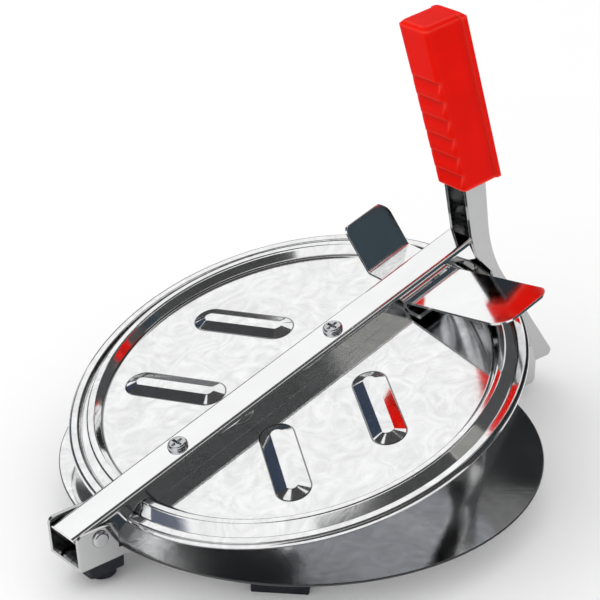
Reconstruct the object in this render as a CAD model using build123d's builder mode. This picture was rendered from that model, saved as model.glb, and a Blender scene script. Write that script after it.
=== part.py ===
from build123d import *
import math
import os

# Puri press: a lower plate on legs, an upper plate under a hinged arm, and a lever at the far end.
# Lengths are in millimetres and angles in degrees. Unless a comment says otherwise, x is measured
# from the plates' axis towards the lever, y to the left, and heights from the lower plate's top.
# Sizes on the arm are given with the arm shut, and the model shows it part open.

# Stand and lower plate
stand_height = 16.0
lower_plate_radius = 95.0
lower_plate_sheet = 0.9

# Upper plate: pressed cover and the flat disc folded over its edge
plate_margin = 4.3
closed_gap = 0.35
disc_sheet = 0.8
cover_sheet = 0.9
rim_width = 13.5
ring_inner_slope = 2.5
ring_outer_slope = 4.3
ring_crest = 2.6
ring_height = 3.8
ring_bend = 1.4
hem_width = 4.0
hem_clearance = 0.1
hem_lift = 0.6

# Embossed ribs, in two pairs
rib_arm_margin = 12.6
rib_ring_margin = 14.4
rib_width = 11.2
rib_height = 1.7
rib_taper = 64.0
rib_corner = 5.2
rib_edge = 0.8
rib_turn = 27.0
rib_pattern_turn = -2.8
front_rib_x = 7.0
rear_rib_x = -34.7
rear_rib_step = 6.0

# Hinge at the back of the base
hinge_setback = 8.6
hinge_rise = 6.0
rest_opening = 16.6
pin_radius = 2.4
pin_fit = 0.05
pin_head_radius = 3.35
pin_head_height = 1.4
bush_play = 0.3

# Arm channel
arm_width = 14.5
arm_sheet = 1.1
arm_top = 10.9
arm_bend = 0.9
arm_end_overhang = 3.4
arm_toe_overhang = 2.7
arm_toe_height = 1.7
arm_wall_relief = 2.5
arm_rim_clearance = 0.5
heel_overhang = 9.0
heel_margin = 6.0

# Screws and the bosses that they go into
rear_screw_inset = 20.0
front_screw_x = 22.7
screw_radius = 2.0
screw_length = 7.0
screw_fit = 0.05
screw_head_radius = 4.0
screw_head_height = 1.7
cross_length = 4.8
cross_width = 1.1
cross_depth = 0.9
boss_radius = 4.5

# Lift tabs on the arm
tab_sheet = 1.0
tab_bend = 1.1
tab_root_length = 16.0
left_tab_setback = 36.1
left_tab_width = 22.7
left_tab_rise = 7.7
left_tab_shelf = 10.1
left_tab_height = 18.5
left_tab_splay = 9.3
left_tab_hinge_corner = 3.0
left_tab_lever_corner = 5.5
right_tab_setback = 40.4
right_tab_width = 25.8
right_tab_reach = 56.2
right_tab_rise = 5.9
right_tab_lift = 12.6
right_tab_hinge_corner = 8.0
right_tab_lever_corner = 5.0
right_tab_toe = 7.0

# Base bar, a channel with ears at both ends
bar_sheet = 1.4
bar_depth = 4.0
ear_clearance = 0.9
ear_edge_gap = 0.6
hinge_ear_back = 9.9
hinge_ear_height = 4.1
hinge_ear_slant = 1.0
hinge_ear_corner = 2.5
lever_ear_base = 11.7
lever_ear_top = 8.5
lever_ear_height = 6.5
lever_ear_corner = 2.5
bar_step_drop = 6.2
bar_step_length = 6.0
bar_step_inset = 3.0
bar_floor_setback = 4.0

# Legs, their pads and the foot under the hinge
leg_sheet = 1.2
leg_width = 22.6
leg_turn = 43.4
leg_inset = 17.0
leg_flange = 16.0
leg_top_flange = 14.0
leg_web_run = 2.5
leg_bend = 1.0
pad_height = 4.0
pad_inset = 0.6
pad_edge = 0.8
foot_pad_length = 15.2
foot_pad_height = 5.2
foot_pad_inset = 5.6
foot_button_radius = 5.5
foot_button_x = 6.3
foot_edge = 1.2

# Lever
lever_setback = 17.0
lever_rise = 1.5
lever_width = 12.2
lever_sheet = 1.3
lever_gap = 0.5
tail_reach = 24.9
tail_drop = 2.5
foot_drop = 4.9
foot_front = 10.5
foot_corner = 5.0
tail_corner = 1.2
shoulder_run = 3.4
shoulder_drop = 9.6
shoulder_corner = 2.0
notch_run = 9.9
notch_corner = 3.0
knee_run = 11.3
knee_drop = 10.6
knee_radius = 60.0
neck_depth = 11.1
washer_radius = 5.5
washer_gap = 0.3
bush_radius = 3.4

# Grip on the lever
grip_run = 3.5
grip_rise = 23.4
grip_lean = 18.3
grip_end_tilt = 6.0
grip_length = 76.3
grip_bottom_depth = 20.8
grip_top_depth = 22.0
grip_bottom_width = 17.4
grip_top_width = 17.0
grip_corner = 1.8
grip_flange_depth = 3.8
grip_flange_lip = 0.8
grip_flange_corner = 0.7
grip_front_cover = 2.2
tang_inset = 1.6
tang_length = 52.0
tang_fit = 0.15
ridge_count = 6
ridge_pitch = 8.8
ridge_offset = 8.0
ridge_depth = 1.1
ridge_step = 0.7
grip_top_chamfer = 1.5

# Places worked out from the sizes above
upper_plate_radius = lower_plate_radius - plate_margin
hinge_offset = lower_plate_radius + hinge_setback
lever_offset = lower_plate_radius + lever_setback
arm_end = upper_plate_radius + arm_end_overhang
ring_foot = upper_plate_radius - rim_width
leg_reach = lower_plate_radius - leg_inset
rear_screw_x = -ring_foot + rear_screw_inset
left_tab_x = arm_end - left_tab_setback
right_tab_x = arm_end - right_tab_setback
disc_top = closed_gap + disc_sheet
cover_top = disc_top + cover_sheet
web_under = arm_top - arm_sheet
bar_inner = arm_width + 2 * ear_clearance
bar_outer = bar_inner + 2 * bar_sheet
plate_under = -lower_plate_sheet
bar_bottom = plate_under - bar_depth
bar_low = bar_bottom - bar_step_drop
opening = math.radians(rest_opening)
lean = math.radians(grip_lean)
end_tilt = math.radians(grip_end_tilt)


def swing(x, height):
    """Place of a point on the arm at rest, from its place with the arm shut."""
    dx = x + hinge_offset
    dz = height - hinge_rise
    return (
        dx * math.cos(opening) - dz * math.sin(opening) - hinge_offset,
        dx * math.sin(opening) + dz * math.cos(opening) + hinge_rise,
    )


# The origin lies on the table, midway between the arm's heel and the lever's tail
heel_reach = -swing(-hinge_offset - heel_overhang, arm_top)[0]
tail_x = lever_offset + tail_reach
plate_x = (heel_reach - tail_x) / 2

along = Vector(math.cos(opening), 0, math.sin(opening))
up = Vector(-math.sin(opening), 0, math.cos(opening))
left = Vector(0, 1, 0)
right = Vector(0, -1, 0)
base_origin = Vector(plate_x, 0, stand_height)
arm_origin = base_origin + Vector(swing(0, 0)[0], 0, swing(0, 0)[1])


def level(height, x=0.0):
    """Level plane of the base."""
    return Plane(base_origin + Vector(x, 0, height), x_dir=(1, 0, 0), z_dir=(0, 0, 1))


def side(y=0.0):
    """Upright plane along the base, seen from the right."""
    return Plane(base_origin + left * y, x_dir=(1, 0, 0), z_dir=right)


def radial(angle):
    """Upright plane out from the plates' axis."""
    turn = math.radians(angle)
    outward = Vector(math.cos(turn), math.sin(turn), 0)
    return Plane(base_origin, x_dir=outward, z_dir=outward.cross(Vector(0, 0, 1)))


def arm_level(height):
    """Plane of the arm that is level when the arm is shut."""
    return Plane(arm_origin + up * height, x_dir=along, z_dir=up)


def arm_side(y=0.0):
    """Upright plane along the arm, seen from the right."""
    return Plane(arm_origin + left * y, x_dir=along, z_dir=right)


def arm_cross(x):
    """Plane across the arm, with its first direction to the left."""
    return Plane(arm_origin + along * x, x_dir=left, z_dir=along)


def outline(*corners):
    """Closed outline, from each corner's place and the radius that rounds it."""
    return FilletPolyline(
        [corner[:2] for corner in corners],
        radius=[corner[2] for corner in corners],
        close=True,
    )


def write(part, name):
    """Label one piece and write its file."""
    part.label = name
    export_step(part, f"parts/{name}.step")


os.makedirs("parts", exist_ok=True)

# Lower plate: plain disc with a softened edge
with BuildPart() as lower_plate:
    with BuildSketch(level(plate_under)):
        Circle(lower_plate_radius)
    extrude(amount=lower_plate_sheet)
    fillet(lower_plate.edges(), radius=lower_plate_sheet / 3)
write(lower_plate.part, "lower_plate")

# Base bar: folded channel, stepped down under the lever, with walls that rise into ears
ear_front = -lower_plate_radius - ear_edge_gap
ear_back = -hinge_offset - hinge_ear_back
ear_top = hinge_rise + hinge_ear_height
step_end = lower_plate_radius - bar_step_inset
step_start = step_end - bar_step_length
step_shift = bar_sheet * math.tan(math.atan2(bar_step_drop, bar_step_length) / 2)
lever_ear_peak = lever_rise + lever_ear_height
lever_ear_back = lever_offset + lever_ear_base
floor_end = lever_offset + bar_floor_setback
bar_roof = max(ear_top, lever_ear_peak) + bar_sheet
with BuildPart() as base_bar:
    with BuildSketch(side(bar_outer / 2)):
        with BuildLine():
            outline(
                (ear_back + hinge_ear_slant, bar_bottom, 0),
                (step_start, bar_bottom, 0),
                (step_end, bar_low, 0),
                (lever_ear_back, bar_low, lever_ear_corner),
                (lever_ear_back, plate_under, 0),
                (lever_offset + lever_ear_top, lever_ear_peak, lever_ear_corner),
                (lever_offset - lever_ear_top, lever_ear_peak, lever_ear_corner),
                (lever_offset - lever_ear_base, plate_under, 0),
                (ear_front, plate_under, 0),
                (ear_front, ear_top, hinge_ear_corner),
                (ear_back, ear_top, hinge_ear_corner),
            )
        make_face()
    extrude(amount=bar_outer)
    with BuildSketch(side(bar_inner / 2)):
        with BuildLine():
            Polyline(
                (ear_back - bar_sheet, bar_bottom + bar_sheet),
                (step_start + step_shift, bar_bottom + bar_sheet),
                (step_end + step_shift, bar_low + bar_sheet),
                (floor_end, bar_low + bar_sheet),
                (floor_end, bar_low - bar_sheet),
                (lever_ear_back + bar_sheet, bar_low - bar_sheet),
                (lever_ear_back + bar_sheet, bar_roof),
                (ear_back - bar_sheet, bar_roof),
                close=True,
            )
        make_face()
    extrude(amount=bar_inner, mode=Mode.SUBTRACT)
    with BuildSketch(side(bar_outer / 2)):
        with Locations((-hinge_offset, hinge_rise), (lever_offset, lever_rise)):
            Circle(pin_radius + pin_fit)
    extrude(amount=bar_outer, mode=Mode.SUBTRACT)
write(base_bar.part, "base_bar")

# Four legs: sheet brackets under the lower plate, each with a rubber pad
pad_top = pad_height - stand_height
leg_top_start = leg_reach - leg_flange - leg_web_run - leg_top_flange
for name, angle in (
    ("lever_left", leg_turn),
    ("hinge_left", 180 - leg_turn),
    ("hinge_right", 180 + leg_turn),
    ("lever_right", -leg_turn),
):
    with BuildPart() as leg:
        with BuildSketch(radial(angle)):
            with BuildLine():
                FilletPolyline(
                    (leg_top_start, plate_under),
                    (leg_top_start + leg_top_flange, plate_under),
                    (leg_reach - leg_flange, pad_top + leg_sheet),
                    (leg_reach, pad_top + leg_sheet),
                    radius=leg_bend + leg_sheet,
                )
                offset(amount=leg_sheet, side=Side.RIGHT)
            make_face()
        extrude(amount=leg_width / 2, both=True)
    write(leg.part, f"leg_{name}")
    with BuildPart() as pad:
        with BuildSketch(radial(angle)):
            with BuildLine():
                Polyline(
                    (leg_reach - leg_flange + pad_inset, -stand_height),
                    (leg_reach - pad_inset, -stand_height),
                    (leg_reach - pad_inset, pad_top),
                    (leg_reach - leg_flange + pad_inset, pad_top),
                    close=True,
                )
            make_face()
        extrude(amount=leg_width / 2 - pad_inset, both=True)
        fillet(pad.edges().filter_by(Axis.Z), radius=pad_edge)
    write(pad.part, f"pad_{name}")

# Foot under the hinge: block below the bar with a round button that stands on the table
foot_end = ear_back + foot_pad_inset
with BuildPart() as hinge_foot:
    with BuildSketch(level(bar_bottom - foot_pad_height, foot_end + foot_pad_length / 2)):
        RectangleRounded(foot_pad_length, bar_outer - 2 * pad_inset, foot_edge)
    extrude(amount=foot_pad_height)
    with BuildSketch(level(-stand_height, -hinge_offset + foot_button_x)):
        Circle(foot_button_radius)
    extrude(amount=bar_bottom - foot_pad_height + stand_height)
    fillet(hinge_foot.edges().group_by(Axis.Z)[0], radius=foot_edge)
write(hinge_foot.part, "hinge_foot")

# Hinge pin and lever pin, riveted over on the outside of the ears
for name, x, height in (
    ("hinge_pin", -hinge_offset, hinge_rise),
    ("lever_pin", lever_offset, lever_rise),
):
    with BuildPart() as pin:
        with BuildSketch(side()):
            with Locations((x, height)):
                Circle(pin_radius)
        extrude(amount=bar_outer / 2, both=True)
        for face_y in (bar_outer / 2 + pin_head_height, -bar_outer / 2):
            with BuildSketch(side(face_y)):
                with Locations((x, height)):
                    Circle(pin_head_radius)
            extrude(amount=pin_head_height)
        ends = pin.edges().group_by(Axis.Y)
        fillet([ends[0], ends[-1]], radius=pin_head_height * 0.8)
    write(pin.part, name)

# Washers between the lever and its ears
lever_inner = lever_width - 2 * lever_sheet
washer_sheet = (bar_inner - lever_width) / 2 - washer_gap
with BuildPart() as lever_washers:
    for face_y in (bar_inner / 2, -bar_inner / 2 + washer_sheet):
        with BuildSketch(side(face_y)):
            with Locations((lever_offset, lever_rise)):
                Circle(washer_radius)
                Circle(pin_radius + pin_fit, mode=Mode.SUBTRACT)
        extrude(amount=washer_sheet)
write(lever_washers.part, "lever_washers")

# Arm: folded channel open downwards, notched over the upper plate's ring and rounded off at the hinge
crest_in = ring_foot + ring_inner_slope
crest_out = crest_in + ring_crest
ring_end = crest_out + ring_outer_slope
ring_top = cover_top + ring_height
notch_top = ring_top + arm_rim_clearance
heel_x = -hinge_offset - heel_overhang
heel_low = hinge_rise - heel_margin
toe_end = upper_plate_radius + arm_toe_overhang
arm_low = min(heel_low, arm_toe_height)
arm_inner = arm_width - 2 * arm_sheet
wall_y = arm_width / 2
with BuildPart() as arm_channel:
    with BuildSketch(arm_cross(heel_x)):
        with BuildLine():
            FilletPolyline(
                (wall_y, arm_low),
                (wall_y, arm_top),
                (-wall_y, arm_top),
                (-wall_y, arm_low),
                radius=arm_bend + arm_sheet,
            )
            offset(amount=arm_sheet, side=Side.LEFT)
        make_face()
    extrude(amount=arm_end - heel_x)
    with BuildSketch(arm_side(wall_y)):
        with BuildLine():
            outline(
                (heel_x, arm_top, 0),
                (heel_x, web_under, 0),
                (-hinge_offset - heel_margin, heel_low, heel_margin / 2),
                (-hinge_offset + heel_margin / 2, heel_low, 0),
                (-toe_end, arm_toe_height, 0),
                (-crest_out - arm_toe_height, notch_top, 0),
                (-ring_foot - arm_wall_relief, notch_top, 0),
                (-ring_foot + ring_bend, cover_top, 0),
                (ring_foot - ring_bend, cover_top, 0),
                (ring_foot + arm_wall_relief, notch_top, 0),
                (crest_out + arm_toe_height, notch_top, 0),
                (toe_end - arm_rim_clearance, arm_toe_height, 0),
                (toe_end, arm_toe_height, 0),
                (arm_end - arm_wall_relief, web_under, 0),
                (arm_end, web_under, 0),
                (arm_end, arm_top, 0),
            )
        make_face()
    extrude(amount=arm_width, mode=Mode.INTERSECT)
    with BuildSketch(arm_side(wall_y)):
        with Locations((-hinge_offset, hinge_rise)):
            Circle(pin_radius + pin_fit)
    extrude(amount=arm_width, mode=Mode.SUBTRACT)
    with BuildSketch(arm_level(web_under)):
        with Locations((rear_screw_x, 0), (front_screw_x, 0)):
            Circle(screw_radius + screw_fit)
    extrude(amount=arm_sheet, mode=Mode.SUBTRACT)
write(arm_channel.part, "arm_channel")

# Bush on the hinge pin, between the arm's walls
with BuildPart() as hinge_bush:
    with BuildSketch(side()):
        with Locations((-hinge_offset, hinge_rise)):
            Circle(bush_radius)
            Circle(pin_radius + pin_fit, mode=Mode.SUBTRACT)
    extrude(amount=arm_inner / 2 - bush_play, both=True)
write(hinge_bush.part, "hinge_bush")

# Upper plate: pressed cover with a raised ring and four ribs, hollow underneath
plate_axis = Axis(arm_origin, up)
hem_inner = upper_plate_radius - hem_width
hem_radius = (disc_sheet * 2 + cover_sheet + hem_lift) / 2
flange_end = upper_plate_radius - hem_radius - hem_clearance
rib_span = ring_foot - arm_width / 2 - rib_arm_margin - rib_ring_margin
rib_length = (rib_span - rib_width * math.sin(math.radians(rib_turn))) / math.cos(math.radians(rib_turn))
front_rib_y = arm_width / 2 + rib_arm_margin + rib_span / 2
rear_rib_y = front_rib_y - rear_rib_step
rib_slope = math.radians(rib_taper)
rib_wall = cover_sheet * (1 / math.cos(rib_slope) - math.tan(rib_slope))
pattern = Location((0, 0), rib_pattern_turn)
ribs = [
    pattern * Location((front_rib_x, front_rib_y), 90 + rib_turn),
    pattern * Location((front_rib_x, -front_rib_y), 90 - rib_turn),
    pattern * Location((rear_rib_x, rear_rib_y), 90 + rib_turn),
    pattern * Location((rear_rib_x, -rear_rib_y), 90 - rib_turn),
]
with BuildPart() as upper_plate:
    with BuildSketch(arm_side()):
        with BuildLine():
            FilletPolyline(
                (0, cover_top),
                (ring_foot, cover_top),
                (crest_in, ring_top),
                (crest_out, ring_top),
                (ring_end, cover_top),
                (flange_end, cover_top),
                radius=ring_bend,
            )
            offset(amount=cover_sheet, side=Side.RIGHT)
        make_face()
    revolve(axis=plate_axis)
    for rib_place in ribs:
        with BuildSketch(arm_level(cover_top)):
            with Locations(rib_place):
                RectangleRounded(rib_length, rib_width, rib_corner)
        extrude(amount=rib_height, taper=rib_taper)
    rib_edges = upper_plate.edges().filter_by(
        lambda e: abs((e.center() - arm_origin).dot(up) - cover_top - rib_height) < 0.01
    )
    fillet(rib_edges, radius=rib_edge)
    for rib_place in ribs:
        with BuildSketch(arm_level(disc_top)):
            with Locations(rib_place):
                RectangleRounded(rib_length - 2 * rib_wall, rib_width - 2 * rib_wall, rib_corner - rib_wall)
        extrude(amount=rib_height, taper=rib_taper, mode=Mode.SUBTRACT)
write(upper_plate.part, "upper_plate")

# Pressing disc: flat sheet under the cover, folded over the cover's flange
lip_under = cover_top + hem_lift
hem_top = lip_under + disc_sheet
with BuildPart() as pressing_disc:
    with BuildSketch(arm_side()):
        with BuildLine():
            Polyline(
                (0, disc_top),
                (0, closed_gap),
                (upper_plate_radius - hem_radius, closed_gap),
            )
            ThreePointArc(
                (upper_plate_radius - hem_radius, closed_gap),
                (upper_plate_radius, closed_gap + hem_radius),
                (upper_plate_radius - hem_radius, hem_top),
            )
            Polyline(
                (upper_plate_radius - hem_radius, hem_top),
                (hem_inner, hem_top),
                (hem_inner, lip_under),
                (flange_end + hem_clearance, lip_under),
                (flange_end + hem_clearance, disc_top),
                (0, disc_top),
            )
        make_face()
    revolve(axis=plate_axis)
write(pressing_disc.part, "pressing_disc")

# Bosses on the cover that take the screws
with BuildPart() as plate_bosses:
    with BuildSketch(arm_level(cover_top)):
        with Locations((rear_screw_x, 0), (front_screw_x, 0)):
            Circle(boss_radius)
            Circle(screw_radius + screw_fit, mode=Mode.SUBTRACT)
    extrude(amount=web_under - cover_top)
write(plate_bosses.part, "plate_bosses")

# Screws through the arm, with domed heads and cross recesses
head_top = arm_top + screw_head_height
with BuildPart() as arm_screws:
    with BuildSketch(arm_level(arm_top)):
        with Locations((rear_screw_x, 0), (front_screw_x, 0)):
            Circle(screw_head_radius)
    extrude(amount=screw_head_height)
    rim_edges = arm_screws.edges().filter_by(
        lambda e: (e.center() - arm_origin).dot(up) > head_top - 0.01
    )
    fillet(rim_edges, radius=screw_head_height * 0.75)
    with BuildSketch(arm_level(arm_top - screw_length)):
        with Locations((rear_screw_x, 0), (front_screw_x, 0)):
            Circle(screw_radius)
    extrude(amount=screw_length)
    with BuildSketch(arm_level(head_top - cross_depth)):
        with Locations((rear_screw_x, 0), (front_screw_x, 0)):
            Rectangle(cross_length, cross_width)
            Rectangle(cross_width, cross_length)
    extrude(amount=cross_depth, mode=Mode.SUBTRACT)
write(arm_screws.part, "arm_screws")

# Left lift tab: shelf out from the arm's wall, turned up into a finger plate
shelf_end = wall_y + left_tab_shelf
left_tab_span = left_tab_shelf + left_tab_splay + tab_sheet
left_tab_top = left_tab_rise + left_tab_height
with BuildPart() as lift_tab_left:
    with BuildSketch(arm_cross(left_tab_x)):
        with BuildLine():
            FilletPolyline(
                (wall_y, cover_top + tab_sheet),
                (wall_y, left_tab_rise),
                (shelf_end, left_tab_rise),
                (shelf_end + left_tab_splay, left_tab_top),
                radius=(tab_bend + tab_sheet, tab_bend),
            )
            offset(amount=tab_sheet, side=Side.RIGHT)
        make_face()
    extrude(amount=left_tab_width)
    with BuildSketch(arm_side(wall_y + left_tab_span)):
        with BuildLine():
            outline(
                (left_tab_x, cover_top, 0),
                (left_tab_x + tab_root_length, cover_top, 0),
                (left_tab_x + tab_root_length, notch_top, 0),
                (left_tab_x + left_tab_width, notch_top, 0),
                (left_tab_x + left_tab_width, left_tab_top, left_tab_lever_corner),
                (left_tab_x, left_tab_top, left_tab_hinge_corner),
            )
        make_face()
    extrude(amount=left_tab_span, mode=Mode.INTERSECT)
write(lift_tab_left.part, "lift_tab_left")

# Right lift tab: toe on the cover, root on the arm's wall, and a long sloping plate
root_y = -wall_y - tab_sheet
right_tip_y = root_y - right_tab_reach
with BuildPart() as lift_tab_right:
    with BuildSketch(arm_cross(right_tab_x)):
        with BuildLine():
            FilletPolyline(
                (root_y - right_tab_toe, cover_top + tab_sheet),
                (root_y, cover_top + tab_sheet),
                (root_y, right_tab_rise),
                (right_tip_y, right_tab_rise + right_tab_lift),
                radius=tab_bend,
            )
            offset(amount=tab_sheet, side=Side.RIGHT)
        make_face()
    extrude(amount=right_tab_width)
    with BuildSketch(arm_level(cover_top)):
        with BuildLine():
            outline(
                (right_tab_x, right_tip_y, right_tab_hinge_corner),
                (right_tab_x + right_tab_width, right_tip_y, right_tab_lever_corner),
                (right_tab_x + right_tab_width, -wall_y, 0),
                (right_tab_x, -wall_y, 0),
            )
        make_face()
    extrude(amount=right_tab_rise + right_tab_lift, mode=Mode.INTERSECT)
    with BuildSketch(arm_side(-wall_y)):
        with BuildLine():
            Polyline(
                (right_tab_x + tab_root_length, 0),
                (right_tab_x + right_tab_width, 0),
                (right_tab_x + right_tab_width, notch_top),
                (right_tab_x + tab_root_length, notch_top),
                close=True,
            )
        make_face()
    extrude(amount=right_tab_toe + tab_sheet, mode=Mode.SUBTRACT)
write(lift_tab_right.part, "lift_tab_right")

# Lever: channel open towards the hinge, with a foot between the ears, a waist and a tang in the grip
lever_front = swing(arm_end, arm_top)
lean_x = lever_front[0] + lever_gap
lean_h = lever_front[1]
shoulder = (lean_x + shoulder_run, lean_h - shoulder_drop)
notch = (shoulder[0] + notch_run, shoulder[1] - notch_run)
knee = (lean_x + knee_run, lean_h - knee_drop)
foot_low = lever_rise - foot_drop
grip_x = lean_x + grip_run
grip_h = lean_h + grip_rise
grip_across = (math.cos(end_tilt), math.sin(end_tilt))
grip_along = (-math.sin(lean), math.cos(lean))


def grip_point(across, along_grip):
    """Point beside the grip's axis, from the middle of its lower end."""
    return (
        grip_x + across * grip_across[0] + along_grip * grip_along[0],
        grip_h + across * grip_across[1] + along_grip * grip_along[1],
    )


neck_start = -grip_bottom_depth / 2 + grip_front_cover
neck_end = neck_start + neck_depth
tang_start = neck_start + tang_inset
back_points = (
    (tail_x, lever_rise - tail_drop),
    knee,
    grip_point(neck_end, 0),
    grip_point(neck_end, tang_length),
)
with BuildPart() as lever_channel:
    with BuildSketch(side(lever_width / 2)):
        with BuildLine():
            outline(
                (lever_offset - foot_front, foot_low, foot_corner),
                (tail_x - tail_corner, foot_low, tail_corner),
                (*back_points[0], tail_corner),
                (*knee, knee_radius),
                (*back_points[2], 0),
                (*back_points[3], 0),
                (*grip_point(tang_start, tang_length), 0),
                (*grip_point(tang_start, 0), 0),
                (*grip_point(neck_start, 0), 0),
                (lean_x, lean_h, 0),
                (*shoulder, shoulder_corner),
                (*notch, notch_corner),
            )
        make_face()
    extrude(amount=lever_width)
    with BuildSketch(side(lever_inner / 2)):
        with BuildLine():
            outline(
                (lever_offset - 2 * foot_front, foot_low - lever_sheet, 0),
                (tail_x, foot_low - lever_sheet, 0),
                (tail_x - 2 * lever_sheet, lever_rise - tail_drop, 0),
                (knee[0] - lever_sheet, knee[1], knee_radius),
                (*grip_point(neck_end - lever_sheet, 0), 0),
                (*grip_point(neck_end - lever_sheet, tang_length + lever_sheet), 0),
                (*grip_point(neck_start - neck_depth, tang_length + lever_sheet), 0),
            )
        make_face()
    extrude(amount=lever_inner, mode=Mode.SUBTRACT)
    with BuildSketch(side(lever_width / 2)):
        with Locations((lever_offset, lever_rise)):
            Circle(pin_radius + pin_fit)
    extrude(amount=lever_width, mode=Mode.SUBTRACT)
write(lever_channel.part, "lever_channel")

# Bush on the lever pin, between the lever's cheeks
with BuildPart() as lever_bush:
    with BuildSketch(side()):
        with Locations((lever_offset, lever_rise)):
            Circle(bush_radius)
            Circle(pin_radius + pin_fit, mode=Mode.SUBTRACT)
    extrude(amount=lever_inner / 2 - bush_play, both=True)
write(lever_bush.part, "lever_bush")

# Grip: moulded block, ridged towards the hinge, with a pocket for the lever's tang
grip_up = Vector(-math.sin(end_tilt), 0, math.cos(end_tilt))
grip_x_dir = Vector(math.cos(end_tilt), 0, math.sin(end_tilt))
ridge_share = (grip_top_depth - grip_bottom_depth) / 2 / grip_length
with BuildPart() as lever_grip:
    for reach, inset in ((0, 0), (grip_length - grip_top_chamfer, 0), (grip_length, grip_top_chamfer)):
        share = reach / grip_length
        half_depth = (grip_bottom_depth + (grip_top_depth - grip_bottom_depth) * share) / 2 - inset
        half_width = (grip_bottom_width + (grip_top_width - grip_bottom_width) * share) / 2 - inset
        waist_y = half_width - grip_flange_lip
        flange_x = half_depth - grip_flange_depth
        middle = grip_point(0, reach)
        section_origin = base_origin + Vector(middle[0], 0, middle[1])
        with BuildSketch(Plane(section_origin, x_dir=grip_x_dir, z_dir=grip_up)):
            with BuildLine():
                outline(
                    (-half_depth, -waist_y, grip_corner),
                    (flange_x, -waist_y, grip_flange_corner),
                    (flange_x + grip_flange_lip, -half_width, grip_flange_corner),
                    (half_depth, -half_width, grip_corner),
                    (half_depth, half_width, grip_corner),
                    (flange_x + grip_flange_lip, half_width, grip_flange_corner),
                    (flange_x, waist_y, grip_flange_corner),
                    (-half_depth, waist_y, grip_corner),
                )
            make_face()
    loft(ruled=True)
    for index in range(ridge_count):
        reach = ridge_offset + index * ridge_pitch
        front = -grip_bottom_depth / 2 - reach * ridge_share
        with BuildSketch(side()):
            with BuildLine():
                Polyline(
                    grip_point(front - ridge_depth, reach + ridge_step),
                    grip_point(front + ridge_depth, reach - ridge_step),
                    grip_point(front - ridge_depth / 2, reach - ridge_pitch),
                    close=True,
                )
            make_face()
        extrude(amount=max(grip_bottom_width, grip_top_width), both=True, mode=Mode.SUBTRACT)
    with BuildSketch(side()):
        with BuildLine():
            Polyline(
                grip_point(tang_start - tang_fit, 0),
                grip_point(neck_end + tang_fit, 0),
                grip_point(neck_end + tang_fit, tang_length + tang_fit),
                grip_point(tang_start - tang_fit, tang_length + tang_fit),
                close=True,
            )
        make_face()
    extrude(amount=lever_width / 2 + tang_fit, both=True, mode=Mode.SUBTRACT)
write(lever_grip.part, "lever_grip")
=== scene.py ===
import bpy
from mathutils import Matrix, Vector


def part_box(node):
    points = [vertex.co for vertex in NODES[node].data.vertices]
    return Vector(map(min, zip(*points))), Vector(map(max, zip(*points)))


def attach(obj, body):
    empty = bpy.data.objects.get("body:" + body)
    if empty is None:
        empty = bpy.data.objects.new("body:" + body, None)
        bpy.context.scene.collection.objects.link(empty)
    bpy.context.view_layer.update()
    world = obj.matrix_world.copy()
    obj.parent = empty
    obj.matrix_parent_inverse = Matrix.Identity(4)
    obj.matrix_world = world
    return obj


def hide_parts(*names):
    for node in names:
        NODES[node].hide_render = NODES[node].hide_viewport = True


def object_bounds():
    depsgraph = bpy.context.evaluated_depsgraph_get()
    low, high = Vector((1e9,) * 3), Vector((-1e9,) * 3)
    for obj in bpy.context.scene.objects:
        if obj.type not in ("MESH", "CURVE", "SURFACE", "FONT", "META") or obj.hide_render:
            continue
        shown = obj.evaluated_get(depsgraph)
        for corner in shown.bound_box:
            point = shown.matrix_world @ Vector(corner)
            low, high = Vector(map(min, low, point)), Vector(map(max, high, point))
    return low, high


bl_info = {
    "name": "Puri Press Looks",
    "version": (1, 0, 0),
    "blender": (4, 5, 0),
    "location": "View3D > Sidebar > Puri Press",
    "description": "Dresses the puri press in steel, red plastic and rubber, and sets up its studio",
    "category": "Material",
}

import math

import bmesh
import bpy
from bpy.props import FloatProperty, FloatVectorProperty, PointerProperty
from bpy.types import NodeSocket, Operator, Panel, PropertyGroup
from mathutils import Matrix, Vector

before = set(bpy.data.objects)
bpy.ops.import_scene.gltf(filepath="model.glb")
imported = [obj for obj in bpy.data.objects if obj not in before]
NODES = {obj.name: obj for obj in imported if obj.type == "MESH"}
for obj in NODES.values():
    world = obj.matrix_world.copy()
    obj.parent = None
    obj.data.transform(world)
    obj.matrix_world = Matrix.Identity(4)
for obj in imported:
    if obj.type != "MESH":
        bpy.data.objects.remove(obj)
CAD_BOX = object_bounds()

ARM = ("arm_channel", "lift_tab_left", "lift_tab_right")
LEGS = ("leg_lever_left", "leg_hinge_left", "leg_hinge_right", "leg_lever_right")
SCREWS = ("arm_screws", "hinge_pin", "lever_pin")
BUSHES = ("lever_washers", "hinge_bush", "lever_bush", "plate_bosses")
FEET = ("pad_lever_left", "pad_hinge_left", "pad_hinge_right", "pad_lever_right", "hinge_foot")

# Ribs of the cover: places along and across the arm in metres, and turns in degrees.
RIBS = (
    (-0.0316, 0.0368, 112.9),
    (0.0108, 0.0440, 112.9),
    (-0.0341, -0.0324, 60.2),
    (0.0071, -0.0403, 60.2),
)
ROUND_STEPS = 256
BEND_STEPS = 6
RIB_STEPS = 24
# Mesh attribute that marks the hollow bends of the cover, where a dark line is painted as reflection.
CREASE = "crease"

# Fine numbers of the finishes. A pattern has the size of its features in metres, its detail and its
# distortion. A shade multiplies a colour. A spread multiplies a roughness at the low and high ends of a
# pattern. A relief is a depth in metres, or a share of the pattern's size where that size is a setting.
# A span is the part of a pattern's or share's range that is used. A fade is a width in metres.
NOISE_SPAN = (0.3, 0.7)
EDGE_SPAN = (0.75, 1.0)
ROUNDING_SAMPLES = 4
SHARE_SAMPLES = 8

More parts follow.
